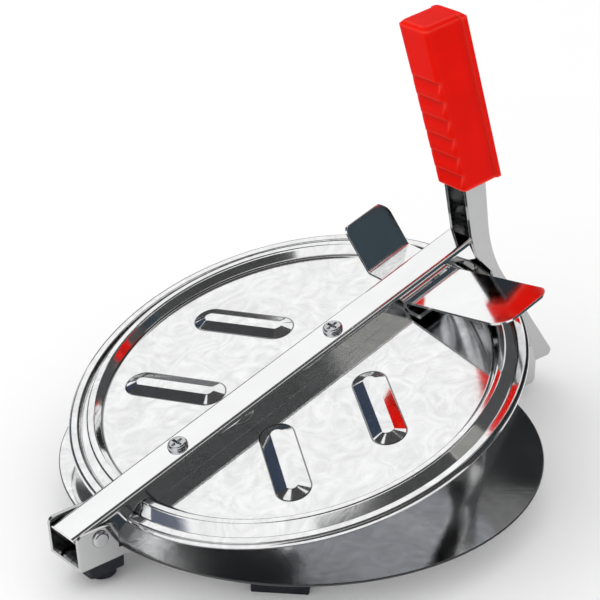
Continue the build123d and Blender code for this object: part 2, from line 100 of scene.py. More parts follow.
SWIRL_DETAIL = 6.0
SWIRL_DISTORTION = 2.6
SWIRL_SHADE = 0.81
SWIRL_RELIEF = 0.0012
HAZE_SIZE_IN_SWIRLS = 4
HAZE_DETAIL = 2.0
HAZE_SPREAD = (1.0, 2.2)
# Painted reflection: shade of the dark line in the cover's hollow bends.
PAINTED_CREASE_SHADE = 0.16
# Painted reflection: shade of the plates' outer edges and of the line along their sharp edges.
PAINTED_DARK_SHADE = 0.10
DULL_ROUGHNESS = 0.35
DULL_FADE = 0.0001
TOP_SPAN = (0.5, 0.8)

BRUSHED_LINES = (0.0008, 2.0, 0.0)
LINE_STRETCH = (0.06, 1.0, 1.0)
LINE_SPREAD = (0.7, 1.5)
LINE_RELIEF = 0.0000006
POLISH_CLOUDS = (0.03, 3.0, 0.6)
CLOUD_SHADE = 0.93
# Painted shade deep in the channels' folds.
FOLD_SPAN = (0.35, 0.8)
PAINTED_FOLD_SHADE = 0.10
# Painted shade: the base bar and the lever take darker copies of the arm's steel.
BASE_PAINTED_SHADE = 0.62
LEVER_PAINTED_SHADE = 0.54

TUMBLED_GRAIN = (0.0007, 4.0, 0.0)
TUMBLED_SPREAD = (0.8, 1.4)
TUMBLED_RELIEF = 0.00001
TUMBLED_BLOTCHES = (0.006, 3.0, 0.0)
BLOTCH_SHADE = 0.82

MOULD_ROUNDING = 0.0005
PLASTIC_DETAIL = 2.0
PLASTIC_SPREAD = (0.92, 1.1)
PLASTIC_RELIEF = 0.004
PLASTIC_SPECULAR = 0.03
PLASTIC_TONES = (0.02, 3.0, 0.0)
TONE_SHADE = 0.88
# Painted shade in the grip's finger grooves.
GROOVE_SPAN = (0.72, 0.97)
GROOVE_PAINTED_SHADE = 0.38

RUBBER_GRAIN = (0.0009, 3.0, 0.0)
RUBBER_SPREAD = (0.9, 1.2)
RUBBER_RELIEF = 0.00003
RUBBER_SPECULAR = 0.35
RUBBER_BLOOM = (0.008, 4.0, 0.0)
BLOOM_SHADE = 1.9

STAGE_PATCHES = (0.4, 3.0, 0.0)
PATCH_SHADE = 0.99
STAGE_ROUGHNESS = 0.9
STAGE_SPECULAR = 0.1

FLOOR_REACH = 12.0
FLOOR_SQUARES = 8
CAMERA_NEAR = 0.01
GLOSSY_BOUNCES = 12

# Panels that only reflections see, each with its shade and its stations. A station has a direction, in
# degrees from the press's left towards its lever, and the angles up to the panel's lower and upper edges.
PANELS = {
    "lever_panel": (
        (0.010, 0.011, 0.012),
        ((40, -8, 11), (45, -8, 11), (46, -8, 30), (50, -8, 30), (51, 6, 30), (68, 6, 30)),
    ),
    "haze_panel": ((0.150, 0.151, 0.150), ((46, 30, 37), (68, 30, 34))),
    "right_panel": (
        (0.070, 0.072, 0.074),
        ((70, -8, 34), (73, -8, 70), (124, -8, 70), (138, -8, 50), (139, -8, 47)),
    ),
    "tab_panel": ((0.036, 0.052, 0.064), ((139, -8, 41), (153, -8, 41))),
    "wall_panel": ((0.270, 0.268, 0.252), ((139, 41, 54), (160, 41, 54))),
    "front_panel": (
        (0.062, 0.063, 0.064),
        (
            (153, -8, 41), (160, -8, 41), (161, -8, 54), (180, -8, 54),
            (195, -8, 47), (232, -8, 34), (240, -8, 20),
        ),
    ),
    "left_panel": (
        (0.056, 0.058, 0.062),
        ((299, 6, 44), (315, 6, 44), (317, 6, 62), (337, 10, 62), (338, 10, 37)),
    ),
    "blue_panel": ((0.040, 0.056, 0.090), ((338, 12, 37), (348, 14, 38), (359, 20, 36))),
    "low_panel": ((0.130, 0.150, 0.200), ((278, 6, 16), (299, 6, 16))),
    "edge_panel": ((0.050, 0.052, 0.054), ((0, -8, 24), (22, -8, 24), (23, -8, 9), (38, -8, 9))),
    "rib_panel": ((0.170, 0.174, 0.178), ((22, 9, 22), (30, 9, 22), (38, 9, 18))),
    "roof_panel": (
        (0.080, 0.080, 0.080),
        ((0, 62, 80), (60, 62, 80), (61, 62, 73), (75, 62, 73), (76, 62, 80), (360, 62, 80)),
    ),
    "grey_panel": ((0.260, 0.270, 0.290), ((51, -8, 6), (70, -8, 6))),
}
# Height that the panels' angles are taken from, height of their lowest edges, and degrees from edge to edge.
PANEL_EYE = 0.05
PANEL_FOOT = 0.002
PANEL_STEP = 3.0
# Flat mats that only reflections see: shade, first and last direction, nearest distance and height.
MATS = {
    "grey_mat": ((0.260, 0.270, 0.290), 48, 72, 0.11, 0.001),
    "right_mat": ((0.050, 0.050, 0.052), 136, 160, 0.11, 0.001),
    "roof_mat": ((0.080, 0.080, 0.080), 0, 360, 0.005, 2.6),
}


class PuriPressSteel(PropertyGroup):
    """Finish of the steel pieces"""

    tint: FloatVectorProperty(
        name="Tint", description="Colour that the polished steel gives its reflections",
        subtype="COLOR", size=3, default=(0.95, 0.953, 0.957), min=0.0, max=1.0,
    )
    plate_roughness: FloatProperty(
        name="Plate Roughness", description="Roughness of the polished plates",
        subtype="FACTOR", default=0.05, min=0.0, max=1.0,
    )
    channel_roughness: FloatProperty(
        name="Channel Roughness", description="Roughness of the folded channels and tabs",
        subtype="FACTOR", default=0.08, min=0.0, max=1.0,
    )
    plain_tint: FloatVectorProperty(
        name="Plain Tint", description="Colour of the unpolished legs and fasteners",
        subtype="COLOR", size=3, default=(0.62, 0.63, 0.65), min=0.0, max=1.0,
    )
    plain_roughness: FloatProperty(
        name="Plain Roughness", description="Roughness of the legs and bushes",
        subtype="FACTOR", default=0.28, min=0.0, max=1.0,
    )
    screw_roughness: FloatProperty(
        name="Screw Roughness", description="Roughness of the screws and pins",
        subtype="FACTOR", default=0.12, min=0.0, max=1.0,
    )
    swirl_size: FloatProperty(
        name="Swirl Size", description="Size of the swirls that polishing left on the plates",
        default=0.012, min=0.001, max=0.1, unit="LENGTH",
    )
    edge_radius: FloatProperty(
        name="Edge Radius", description="Rounding of sheet edges that catches the light",
        default=0.0003, min=0.0, max=0.002, unit="LENGTH",
    )
    # Reach of the painted reflection, a dark line along sharp edges of the flat plates.
    edge_line: FloatProperty(
        name="Edge Line", description="Reach of the dull line along sharp edges of the flat plates",
        default=0.0008, min=0.0, max=0.005, unit="LENGTH",
    )
    # The lower plate's outer edge is rougher, and painted dark as a painted reflection.
    cut_edge: FloatProperty(
        name="Cut Edge", description="Width of the dull outer edge of the lower plate",
        default=0.00036, min=0.0, max=0.005, unit="LENGTH",
    )
    # The top of the hem's outer edge is rougher, and painted dark as a painted reflection.
    hem_edge: FloatProperty(
        name="Hem Edge", description="Width of the dull outer edge on top of the pressing disc's hem",
        default=0.0010, min=0.0, max=0.005, unit="LENGTH",
    )
    # Painted shade: the insides of the channels are painted dark down to this depth.
    painted_fold_shade_depth: FloatProperty(
        name="Fold Depth", description="Depth at which the insides of the channels are left unpolished",
        default=0.008, min=0.0, max=0.05, unit="LENGTH",
    )


class PuriPressCover(PropertyGroup):
    """Sizes of the pressed cover"""

    sheet: FloatProperty(
        name="Sheet", description="Thickness of the cover's sheet",
        default=0.0009, min=0.0001, unit="LENGTH",
    )
    rim_width: FloatProperty(
        name="Rim Width", description="Width outside the floor, with the ring",
        default=0.0135, min=0.001, unit="LENGTH",
    )
    ring_height: FloatProperty(
        name="Ring Height", description="Height of the raised ring",
        default=0.0038, min=0.0, unit="LENGTH",
    )
    ring_inner_run: FloatProperty(
        name="Ring Inner Run", description="Width of the ring's inner slope",
        default=0.0025, min=0.0001, unit="LENGTH",
    )
    ring_crest: FloatProperty(
        name="Ring Crest", description="Width of the ring's flat top",
        default=0.0026, min=0.0001, unit="LENGTH",
    )
    ring_outer_run: FloatProperty(
        name="Ring Outer Run", description="Width of the ring's outer slope",
        default=0.0043, min=0.0001, unit="LENGTH",
    )
    ring_bend: FloatProperty(
        name="Ring Bend", description="Radius of the ring's bends",
        default=0.0014, min=0.0001, unit="LENGTH",
    )
    rib_length: FloatProperty(
        name="Rib Length", description="Length of each rib",
        default=0.044, min=0.001, unit="LENGTH",
    )
    rib_width: FloatProperty(
        name="Rib Width", description="Width of each rib",
        default=0.0135, min=0.001, unit="LENGTH",
    )
    rib_height: FloatProperty(
        name="Rib Height", description="Height of each rib",
        default=0.0017, min=0.0, unit="LENGTH",
    )
    rib_run: FloatProperty(
        name="Rib Run", description="Width of each rib's slope",
        default=0.0047, min=0.0001, unit="LENGTH",
    )
    rib_bend: FloatProperty(
        name="Rib Bend", description="Radius of the ribs' bends",
        default=0.0024, min=0.0001, unit="LENGTH",
    )


class PuriPressGrip(PropertyGroup):
    """Finish of the moulded grip"""

    colour: FloatVectorProperty(
        name="Colour", description="Colour of the moulded plastic",
        subtype="COLOR", size=3, default=(0.81, 0.006, 0.002), min=0.0, max=1.0,
    )
    roughness: FloatProperty(
        name="Roughness", description="Roughness of the moulded plastic",
        subtype="FACTOR", default=0.30, min=0.0, max=1.0,
    )
    grain_size: FloatProperty(
        name="Grain Size", description="Size of the fine grain of the mould",
        default=0.0015, min=0.0001, max=0.01, unit="LENGTH",
    )
    # Colour of the painted highlight along the grip's edges.
    edge_highlight_colour: FloatVectorProperty(
        name="Edge Colour", description="Colour of the worn edges",
        subtype="COLOR", size=3, default=(1.0, 0.085, 0.055), min=0.0, max=1.0,
    )
    # Width of the painted highlight along the grip's edges.
    edge_width: FloatProperty(
        name="Edge Width", description="Width of the worn edges",
        default=0.0028, min=0.0, max=0.01, unit="LENGTH",
    )
    # Reach of the painted shade in the finger grooves.
    groove_width: FloatProperty(
        name="Groove Width", description="Reach of the dark lines in the finger grooves",
        default=0.005, min=0.0, max=0.02, unit="LENGTH",
    )


class PuriPressRubber(PropertyGroup):
    """Finish of the rubber feet"""

    colour: FloatVectorProperty(
        name="Colour", description="Colour of the rubber",
        subtype="COLOR", size=3, default=(0.008, 0.009, 0.013), min=0.0, max=1.0,
    )
    roughness: FloatProperty(
        name="Roughness", description="Roughness of the rubber",
        subtype="FACTOR", default=0.62, min=0.0, max=1.0,
    )


class PuriPressStage(PropertyGroup):
    """Floor, lamps and camera"""

    floor_colour: FloatVectorProperty(
        name="Floor Colour", description="Colour of the floor",
        subtype="COLOR", size=3, default=(0.95, 0.95, 0.95), min=0.0, max=1.0,
    )
    sky_strength: FloatProperty(
        name="Sky Strength", description="Even light from all round",
        default=0.93, min=0.0, max=2.0,
    )
    key_place: FloatVectorProperty(
        name="Key Place", description="Place of the lamp at the hinge's end",
        subtype="TRANSLATION", size=3, default=(-1.3, 0.0, 0.8), unit="LENGTH",
    )
    key_size: FloatProperty(
        name="Key Size", description="Side of the lamp at the hinge's end",
        default=1.3, min=0.01, unit="LENGTH",
    )
    key_power: FloatProperty(
        name="Key Power", description="Power of the lamp at the hinge's end",
        default=5.52, min=0.0, unit="POWER",
    )
    back_place: FloatVectorProperty(
        name="Back Place", description="Place of the lamp on the press's left",
        subtype="TRANSLATION", size=3, default=(0.35, 1.1, 1.2), unit="LENGTH",
    )
    back_size: FloatProperty(
        name="Back Size", description="Side of the lamp on the press's left",
        default=0.9, min=0.01, unit="LENGTH",
    )
    back_power: FloatProperty(
        name="Back Power", description="Power of the lamp on the press's left",
        default=2.3, min=0.0, unit="POWER",
    )
    panel_distance: FloatProperty(
        name="Panel Distance", description="Distance of the panels from the press",
        default=0.45, min=0.3, max=5.0, unit="LENGTH",
    )
    camera_place: FloatVectorProperty(
        name="Camera Place", description="Place of the camera",
        subtype="TRANSLATION", size=3, default=(-0.45521, -0.51456, 0.41896), unit="LENGTH",
    )
    camera_yaw: FloatProperty(
        name="Camera Yaw", description="Turn of the camera from the press's left, towards its lever",
        subtype="ANGLE", default=math.radians(40.714),
    )
    camera_pitch: FloatProperty(
        name="Camera Pitch", description="Downward tilt of the camera",
        subtype="ANGLE", default=math.radians(26.477),
    )
    camera_lens: FloatProperty(
        name="Camera Lens", description="Focal length of the camera, in millimetres",
        subtype="DISTANCE_CAMERA", default=120.0, min=1.0,
    )


def add_node(tree, kind, inputs=None, **options):
    """Add a node, set its own options, and set or link its inputs."""
    node = tree.nodes.new(kind)
    for name, value in options.items():
        setattr(node, name, value)
    for key, value in (inputs or {}).items():
        if isinstance(value, NodeSocket):
            tree.links.new(value, node.inputs[key])
        else:
            node.inputs[key].default_value = value
    return node


def worked_out(tree, operation, *values):
    """Number worked out from others."""
    node = add_node(tree, "ShaderNodeMath", dict(enumerate(values)), operation=operation)
    return node.outputs["Value"]


def compared(tree, operation, first, second):
    """Number worked out from two vectors."""
    node = add_node(tree, "ShaderNodeVectorMath", {0: first, 1: second}, operation=operation)
    return node.outputs["Value"]


def new_material(name, metallic=0.0, specular=0.5):
    """New material with its tree, its shader, and the place of each point on the piece."""
    material = bpy.data.materials.new(name)
    material.use_nodes = True
    tree = material.node_tree
    shader = tree.nodes["Principled BSDF"]
    shader.inputs["Metallic"].default_value = metallic
    shader.inputs["Specular IOR Level"].default_value = specular
    place = add_node(tree, "ShaderNodeTexCoord").outputs["Object"]
    return material, tree, shader, place


def pattern(tree, place, size, detail, distortion):
    """Noise whose features are about the given size, in metres."""
    inputs = {"Vector": place, "Scale": 1.0 / size, "Detail": detail, "Distortion": distortion}
    return add_node(tree, "ShaderNodeTexNoise", inputs).outputs["Fac"]


def stretched(tree, place, scale):
    """Coordinates stretched along some directions, for brushed lines."""
    return add_node(tree, "ShaderNodeMapping", {"Vector": place, "Scale": scale}).outputs["Vector"]


def graded(tree, value, low, high, span=NOISE_SPAN):
    """Value whose span is spread between two numbers."""
    inputs = {"Value": value, "From Min": span[0], "From Max": span[1], "To Min": low, "To Max": high}
    return add_node(tree, "ShaderNodeMapRange", inputs).outputs["Result"]


def roughened(tree, value, roughness, spread):
    """Roughness that follows a pattern."""
    return graded(tree, value, roughness * spread[0], roughness * spread[1])


def shaded(colour, shade):
    """Colour made lighter or darker."""
    return tuple(min(1.0, channel * shade) for channel in colour)


def mixed(tree, share, first, second):
    """Colour between two others."""
    node = add_node(tree, "ShaderNodeMix", {"Factor": share}, data_type="RGBA")
    for name, colour in (("A", first), ("B", second)):
        if isinstance(colour, NodeSocket):
            tree.links.new(colour, node.inputs[name])
        else:
            node.inputs[name].default_value = (*colour, 1.0)
    return node.outputs["Result"]


def varied(tree, value, colour, shade):
    """Colour that a pattern makes lighter or darker."""
    return mixed(tree, graded(tree, value, 0.0, 1.0), colour, shaded(colour, shade))


def bumped(tree, height, depth, edge_radius):
    """Normal of a surface with rounded edges and a fine relief of the given depth, in metres."""
    edge = add_node(tree, "ShaderNodeBevel", {"Radius": edge_radius}, samples=ROUNDING_SAMPLES)
    inputs = {"Height": height, "Distance": depth, "Strength": 1.0, "Normal": edge.outputs["Normal"]}
    return add_node(tree, "ShaderNodeBump", inputs).outputs["Normal"]


def far_from(tree, place, centre, distance):
    """Share that goes from 0 to 1 past a distance from a point."""
    reach = compared(tree, "DISTANCE", place, centre)
    return graded(tree, reach, 0.0, 1.0, (distance, distance + DULL_FADE))


def open_share(tree, reach, span):
    """Share that goes from 0 deep in a fold or groove of the piece to 1 on its open faces."""
    inputs = {"Distance": reach}
    node = add_node(tree, "ShaderNodeAmbientOcclusion", inputs, samples=SHARE_SAMPLES, only_local=True)
    return graded(tree, node.outputs["AO"], 0.0, 1.0, span)


def near_edges(tree, width):
    """Share that goes from 0 on flat faces to 1 at sharp edges."""
    edge = add_node(tree, "ShaderNodeBevel", {"Radius": width}, samples=SHARE_SAMPLES).outputs["Normal"]
    flat = add_node(tree, "ShaderNodeNewGeometry").outputs["Normal"]
    return graded(tree, compared(tree, "DOT_PRODUCT", edge, flat), 1.0, 0.0, EDGE_SPAN)


def on_top(tree, share):
    """Share kept on faces that look up, and dropped on the others."""
    normal = add_node(tree, "ShaderNodeTexCoord").outputs["Normal"]
    rise = add_node(tree, "ShaderNodeSeparateXYZ", {"Vector": normal}).outputs["Z"]
    return worked_out(tree, "MULTIPLY", share, graded(tree, rise, 0.0, 1.0, TOP_SPAN))


def link_finish(tree, shader, colour, roughness, normal):
    """Link the parts of a finish to the shader."""
    tree.links.new(colour, shader.inputs["Base Color"])
    tree.links.new(roughness, shader.inputs["Roughness"])
    tree.links.new(normal, shader.inputs["Normal"])


def plate_steel(name, settings, edge=None, top_only=False):
    """Mirror-polished sheet with faint swirls, and a painted dark reflection in the hollow bends its mesh
    marks.

    An edge is a point and a distance from it. With one, the sheet is rougher and painted dark past that
    distance, all round or only on top, and it has a painted dark line along its sharp edges. Both are
    painted reflection.
    """
    material, tree, shader, place = new_material(name, metallic=1.0)
    swirls = pattern(tree, place, settings.swirl_size, SWIRL_DETAIL, SWIRL_DISTORTION)
    haze = pattern(tree, place, settings.swirl_size * HAZE_SIZE_IN_SWIRLS, HAZE_DETAIL, 0.0)
    painted_crease_reflection = add_node(tree, "ShaderNodeAttribute", attribute_name=CREASE).outputs["Fac"]
    colour = varied(tree, swirls, settings.tint, SWIRL_SHADE)
    # Painted reflection: a dark line in the hollow bends that the mesh marks.
    colour = mixed(tree, painted_crease_reflection, colour, shaded(settings.tint, PAINTED_CREASE_SHADE))
    roughness = roughened(tree, haze, settings.plate_roughness, HAZE_SPREAD)
    if edge:
        # Painted reflection: dark past the edge's distance and along sharp edges, where the roughness is
        # raised too.
        painted_dark = shaded(settings.tint, PAINTED_DARK_SHADE)
        share = far_from(tree, place, *edge)
        if top_only:
            share = on_top(tree, share)
        colour = mixed(tree, near_edges(tree, settings.edge_line), colour, painted_dark)
        colour = mixed(tree, share, colour, painted_dark)
        roughness = worked_out(tree, "MULTIPLY_ADD", share, DULL_ROUGHNESS, roughness)
    relief = bumped(tree, swirls, settings.swirl_size * SWIRL_RELIEF, settings.edge_radius)
    link_finish(tree, shader, colour, roughness, relief)
    return material


def channel_steel(name, tint, settings):
    """Polished folded sheet with faint lines along it, with painted shade deep in its folds."""
    material, tree, shader, place = new_material(name, metallic=1.0)
    lines = pattern(tree, stretched(tree, place, LINE_STRETCH), *BRUSHED_LINES)
    colour = varied(tree, pattern(tree, place, *POLISH_CLOUDS), tint, CLOUD_SHADE)
    # Painted shade: darker deep in the folds.
    colour = mixed(tree, open_share(tree, settings.painted_fold_shade_depth, FOLD_SPAN), shaded(tint, PAINTED_FOLD_SHADE), colour)
    roughness = roughened(tree, lines, settings.channel_roughness, LINE_SPREAD)
    link_finish(tree, shader, colour, roughness, bumped(tree, lines, LINE_RELIEF, settings.edge_radius))
    return material


def plain_steel(name, roughness, settings):
    """Tumbled steel of legs and fasteners."""
    material, tree, shader, place = new_material(name, metallic=1.0)
    grain = pattern(tree, place, *TUMBLED_GRAIN)
    colour = varied(tree, pattern(tree, place, *TUMBLED_BLOTCHES), settings.plain_tint, BLOTCH_SHADE)
    roughness = roughened(tree, grain, roughness, TUMBLED_SPREAD)
    link_finish(tree, shader, colour, roughness, bumped(tree, grain, TUMBLED_RELIEF, settings.edge_radius))
    return material


def grip_plastic(settings):
    """Moulded plastic with a fine grain, a painted highlight along its edges and painted shade in its
    grooves.
    """
    material, tree, shader, place = new_material("grip_plastic", specular=PLASTIC_SPECULAR)
    grain = pattern(tree, place, settings.grain_size, PLASTIC_DETAIL, 0.0)
    grooves = open_share(tree, settings.groove_width, GROOVE_SPAN)
    colour = varied(tree, pattern(tree, place, *PLASTIC_TONES), settings.colour, TONE_SHADE)
    # Painted highlight: lighter, more orange red near the edges.
    colour = mixed(tree, near_edges(tree, settings.edge_width), colour, settings.edge_highlight_colour)
    # Painted shade: darker deep in the finger grooves.
    colour = mixed(tree, grooves, shaded(settings.colour, GROOVE_PAINTED_SHADE), colour)
    roughness = roughened(tree, grain, settings.roughness, PLASTIC_SPREAD)
    relief = bumped(tree, grain, settings.grain_size * PLASTIC_RELIEF, MOULD_ROUNDING)
    link_finish(tree, shader, colour, roughness, relief)
    return material


def foot_rubber(settings):
    """Matt rubber with a dusty bloom."""
    material, tree, shader, place = new_material("foot_rubber", specular=RUBBER_SPECULAR)
    grain = pattern(tree, place, *RUBBER_GRAIN)
    colour = varied(tree, pattern(tree, place, *RUBBER_BLOOM), settings.colour, BLOOM_SHADE)
    roughness = roughened(tree, grain, settings.roughness, RUBBER_SPREAD)
    link_finish(tree, shader, colour, roughness, bumped(tree, grain, RUBBER_RELIEF, MOULD_ROUNDING))
    return material


def stage_material(name, colour):
    """Plain material for the stage, with a little unevenness."""
    material, tree, shader, place = new_material(name, specular=STAGE_SPECULAR)
    paint = mixed(tree, pattern(tree, place, *STAGE_PATCHES), colour, shaded(colour, PATCH_SHADE))
    tree.links.new(paint, shader.inputs["Base Color"])
    shader.inputs["Roughness"].default_value = STAGE_ROUGHNESS
    return material


def dress(names, material):
    """Give the CAD nodes one material."""
    for name in names:
        NODES[name].material_slots[0].material = material


def rounded_path(corners, radius):
    """Points of a path with rounded corners.

    Each has the direction that is square to the path, and a share that is 1 in the middle of a hollow bend.
    """
    squares = []
    for (x, y), (next_x, next_y) in zip(corners, corners[1:]):
        length = math.dist((x, y), (next_x, next_y))
        squares.append((-(next_y - y) / length, (next_x - x) / length))
    path = [(*corners[0], *squares[0], 0.0)]
    for (x, y), first, second in zip(corners[1:], squares, squares[1:]):
        turn = math.asin(first[0] * second[1] - first[1] * second[0])
        side = math.copysign(radius, turn)
        reach = radius * math.tan(abs(turn) / 2)
        centre = (x - first[1] * reach + first[0] * side, y + first[0] * reach + first[1] * side)
        for step in range(BEND_STEPS + 1):
            cosine = math.cos(turn * step / BEND_STEPS)
            sine = math.sin(turn * step / BEND_STEPS)
            square = (first[0] * cosine - first[1] * sine, first[0] * sine + first[1] * cosine)
            hollow = math.sin(math.pi * step / BEND_STEPS) if turn > 0 else 0.0
            path.append((centre[0] - square[0] * side, centre[1] - square[1] * side, *square, hollow))
    path.append((*corners[-1], *squares[-1], 0.0))
    return path


def both_sides(path, sheet):
    """Path of a sheet's top and, turned over, of its underside."""
    under = [(x - across * sheet, y - rise * sheet, -across, -rise, 0.0) for x, y, across, rise, _ in path]
    return path, under


def made_mesh(name, shape):
    """Mesh from a finished shape."""
    mesh = bpy.data.meshes.new(name)
    shape.to_mesh(mesh)
    shape.free()
    return mesh


class SheetShape:
    """Pressed sheet that is built up from loops of points, with a true normal at each point."""

    def __init__(self):
        self.shape = bmesh.new()
        self.normals = []
        self.creases = []

    def loop(self, points, normals, crease):
        """Add a loop of points."""
        self.normals.extend(normals)
        self.creases.extend([crease] * len(points))
        return [self.shape.verts.new(point) for point in points]

    def join(self, loops):
        """Join each loop to the next one."""
        for first, second in zip(loops, loops[1:]):
            for number in range(len(first)):
                self.shape.faces.new((first[number - 1], first[number], second[number], second[number - 1]))

    def fill(self, loops):
        """Fill the flat face that lies inside the first loop and outside the others."""
        edges = []
        for loop in loops:
            for number in range(len(loop)):
                edges.append(self.shape.edges.get((loop[number - 1], loop[number])))
        bmesh.ops.triangle_fill(self.shape, edges=edges, use_beauty=True)

    def cap(self, loop):
        """Close a loop with one face."""
        self.shape.faces.new(loop)

    def mesh(self, name, place):
        """Finish the sheet and put it in its place."""
        bmesh.ops.recalc_face_normals(self.shape, faces=self.shape.faces)
        mesh = made_mesh(name, self.shape)
        mesh.shade_smooth()
        mesh.normals_split_custom_set_from_vertices(self.normals)
        mesh.attributes.new(CREASE, "FLOAT", "POINT").data.foreach_set("value", self.creases)
        mesh.transform(place)
        return mesh


def circle_loop(sheet, radius, height, outward, rise, crease):
    """Loop round the plate's axis."""
    turns = [2 * math.pi * step / ROUND_STEPS for step in range(ROUND_STEPS)]
    points = [(radius * math.cos(turn), radius * math.sin(turn), height) for turn in turns]
    normals = [(outward * math.cos(turn), outward * math.sin(turn), rise) for turn in turns]
    return sheet.loop(points, normals, crease)


def rib_loop(sheet, rib, settings, inset, height, inward, rise, crease):
    """Loop round one rib, at a distance in from its foot."""
    along, across, angle = rib
    turn = math.radians(angle)
    half_width = settings.rib_width / 2
    reach = half_width - inset
    points = []
    normals = []
    for end in (0.0, math.pi):
        middle = (settings.rib_length / 2 - half_width) * math.cos(end)
        for step in range(RIB_STEPS + 1):
            way = end - math.pi / 2 + math.pi * step / RIB_STEPS + turn
            points.append((
                along + middle * math.cos(turn) + reach * math.cos(way),
                across + middle * math.sin(turn) + reach * math.sin(way),
                height,
            ))
            normals.append((-inward * math.cos(way), -inward * math.sin(way), rise))
    return sheet.loop(points, normals, crease)


def ring_path(settings):
    """Cut through the raised ring, from the floor out to the cover's edge."""
    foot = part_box("pressing_disc")[1][1] - settings.rim_width
    crest_in = foot + settings.ring_inner_run
    crest_out = crest_in + settings.ring_crest
    ring_end = crest_out + settings.ring_outer_run
    corners = (
        (foot - 2 * settings.ring_bend, 0.0), (foot, 0.0), (crest_in, settings.ring_height),
        (crest_out, settings.ring_height), (ring_end, 0.0), (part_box("upper_plate")[1][1], 0.0),
    )
    return rounded_path(corners, settings.ring_bend)


def rib_path(settings):
    """Cut through a rib's slope, from the floor in to the rib's top."""
    corners = (
        (-settings.rib_bend, 0.0), (0.0, 0.0), (settings.rib_run, settings.rib_height),
        (settings.rib_run + settings.rib_bend / 2, settings.rib_height),
    )
    return rounded_path(corners, settings.rib_bend)


def cover_place(ring_height):
    """Place of the cover's floor and its turn: along the arm, to its left and up."""
    node = NODES["upper_plate"].data
    tops = [face for face in node.polygons if face.normal.z > 0]
    up = max(tops, key=lambda face: face.area).normal.copy()
    left = Vector((0.0, 1.0, 0.0))
    along = left.cross(up)
    reaches = [along.dot(vertex.co) for vertex in node.vertices]
    heights = [up.dot(vertex.co) for vertex in node.vertices]
    place = Matrix((along, left, up)).transposed().to_4x4()
    place.translation = along * (min(reaches) + max(reaches)) / 2 + up * (max(heights) - ring_height)
    return place


def cover_mesh(name, settings):
    """Pressed cover: flat floor with four ribs, and a raised ring round it."""
    rings = both_sides(ring_path(settings), settings.sheet)
    slopes = both_sides(rib_path(settings), settings.sheet)
    sheet = SheetShape()
    rims = []
    for ring, slope in zip(rings, slopes):
        circles = [circle_loop(sheet, *point) for point in ring]
        sheet.join(circles)
        feet = []
        for rib in RIBS:
            loops = [rib_loop(sheet, rib, settings, *point) for point in slope]
            sheet.join(loops)
            sheet.cap(loops[-1])
            feet.append(loops[0])
        sheet.fill([circles[0], *feet])
        rims.append(circles[-1])
    sheet.join(rims)
    return sheet.mesh(name, cover_place(settings.ring_height))


def put_in_scene(name, data):
    """New object in the scene."""
    made = bpy.data.objects.new(name, data)
    bpy.context.scene.collection.objects.link(made)
    return made


def put_on_body(name, mesh, node, body):
    """New piece that stands for a CAD node and moves with its body."""
    made = put_in_scene(name, mesh)
    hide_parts(node)
    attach(made, body)
    return made


def put_on_stage(name, mesh, material):
    """New stage object."""
    made = put_in_scene(name, mesh)
    made.data.materials.append(material)
    return made


def floor_mesh():
    """Square floor."""
    shape = bmesh.new()
    bmesh.ops.create_grid(shape, x_segments=FLOOR_SQUARES, y_segments=FLOOR_SQUARES, size=FLOOR_REACH)
    return made_mesh("floor", shape)


def turned(direction, distance, height):
    """Point round the press, at a direction in degrees from its left towards its lever."""
    turn = math.radians(direction)
    return (distance * math.sin(turn), distance * math.cos(turn), height)


def panel_edges(stations, distance):
    """Upright edges of a panel that stands round the press and runs through its stations."""
    points = []
    for first, second in zip(stations, stations[1:]):
        steps = max(1, round((second[0] - first[0]) / PANEL_STEP))
        for step in range(steps):
            points.append([start + (end - start) * step / steps for start, end in zip(first, second)])
    points.append(stations[-1])
    edges = []
    for direction, *angles in points:
        heights = [PANEL_EYE + distance * math.tan(math.radians(angle)) for angle in angles]
        edges.append([turned(direction, distance, max(PANEL_FOOT, height)) for height in heights])
    return edges


def mat_edges(first, last, near, height, far):
    """Edges of a mat that lies flat beside the press or over it."""
    steps = round((last - first) / PANEL_STEP)
    directions = [first + (last - first) * step / steps for step in range(steps + 1)]
    return [[turned(direction, reach, height) for reach in (near, far)] for direction in directions]


def put_in_reflections(name, edges, colour):
    """New stage object that only reflections see: a strip of faces from each edge to the next one."""
    shape = bmesh.new()
    ends = [[shape.verts.new(point) for point in edge] for edge in edges]
    for (first, second), (next_first, next_second) in zip(ends, ends[1:]):
        shape.faces.new((first, next_first, next_second, second))
    made = put_on_stage(name, made_mesh(name, shape), stage_material(name, colour))
    made.visible_camera = False
    made.visible_diffuse = False
    made.visible_shadow = False
    made.visible_transmission = False


def soft_lamp(name, place, size, power):
    """Square area lamp that faces the middle of the press."""
    lamp = bpy.data.lights.new(name, "AREA")
    lamp.shape = "SQUARE"
    lamp.size = size
    lamp.energy = power
    made = put_in_scene(name, lamp)
    made.visible_glossy = False
    made.location = place
    aim = (CAD_BOX[0] + CAD_BOX[1]) / 2 - made.location
    made.rotation_euler = aim.to_track_quat("-Z", "Y").to_euler()


def white_world(strength):
    """Even sky that the camera and reflections see as white."""
    world = bpy.data.worlds.new("white_sky")
    world.use_nodes = True
    tree = world.node_tree
    background = tree.nodes["Background"]
    background.inputs["Color"].default_value = (1.0, 1.0, 1.0, 1.0)
    rays = add_node(tree, "ShaderNodeLightPath").outputs
    seen = worked_out(tree, "MAXIMUM", rays["Is Camera Ray"], rays["Is Glossy Ray"])
    seen = worked_out(tree, "MAXIMUM", seen, rays["Is Transmission Ray"])
    tree.links.new(graded(tree, seen, strength, 1.0, (0.0, 1.0)), background.inputs["Strength"])
    return world


